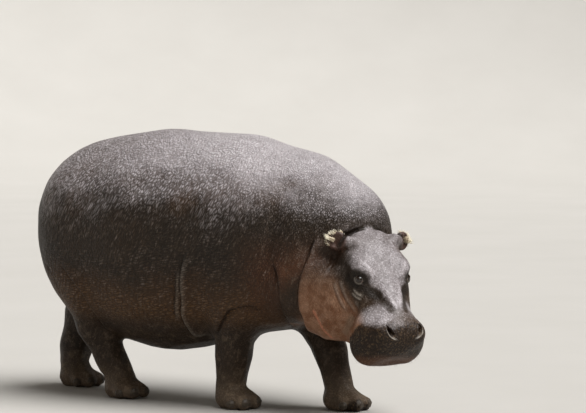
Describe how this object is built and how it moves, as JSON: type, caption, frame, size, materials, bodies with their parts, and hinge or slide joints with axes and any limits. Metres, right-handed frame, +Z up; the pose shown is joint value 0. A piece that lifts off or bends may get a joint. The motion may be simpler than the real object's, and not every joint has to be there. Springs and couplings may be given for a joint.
{
  "type": "pygmy hippopotamus",
  "caption": "Life-size still model of a pygmy hippopotamus standing mid-stride, barrel body on short legs, broad head held low and turned to its right.",
  "frame": {"origin": "on the floor under the middle of the bounding box", "axes": "+X the way the body faces, +Y its left, +Z up; the head turns to the right, towards -Y"},
  "size_m": [1.4756, 0.5678, 0.8198],
  "materials": {
    "skin": "smooth bare hide, slightly moist sheen",
    "eye": "wet, dark brown",
    "nail": "worn horn"
  },
  "bodies": {
    "root": {"trunk": "skin", "neck": "skin", "head": "skin", "muzzle": "skin", "lower_jaw": "skin", "ear_left": "skin", "ear_right": "skin", "tail": "skin", "foreleg_right": "skin", "foreleg_left": "skin", "hindleg_right": "skin", "hindleg_left": "skin", "forefoot_right": "skin", "forefoot_left": "skin", "hindfoot_right": "skin", "hindfoot_left": "skin", "eye_left": "eye", "eye_right": "eye", "nail_forefoot_right_1": "nail", "nail_forefoot_right_2": "nail", "nail_forefoot_right_3": "nail", "nail_forefoot_right_4": "nail", "nail_forefoot_left_1": "nail", "nail_forefoot_left_2": "nail", "nail_forefoot_left_3": "nail", "nail_forefoot_left_4": "nail", "nail_hindfoot_right_1": "nail", "nail_hindfoot_right_2": "nail", "nail_hindfoot_right_3": "nail", "nail_hindfoot_right_4": "nail", "nail_hindfoot_left_1": "nail", "nail_hindfoot_left_2": "nail", "nail_hindfoot_left_3": "nail", "nail_hindfoot_left_4": "nail"}
  },
  "joints": []
}
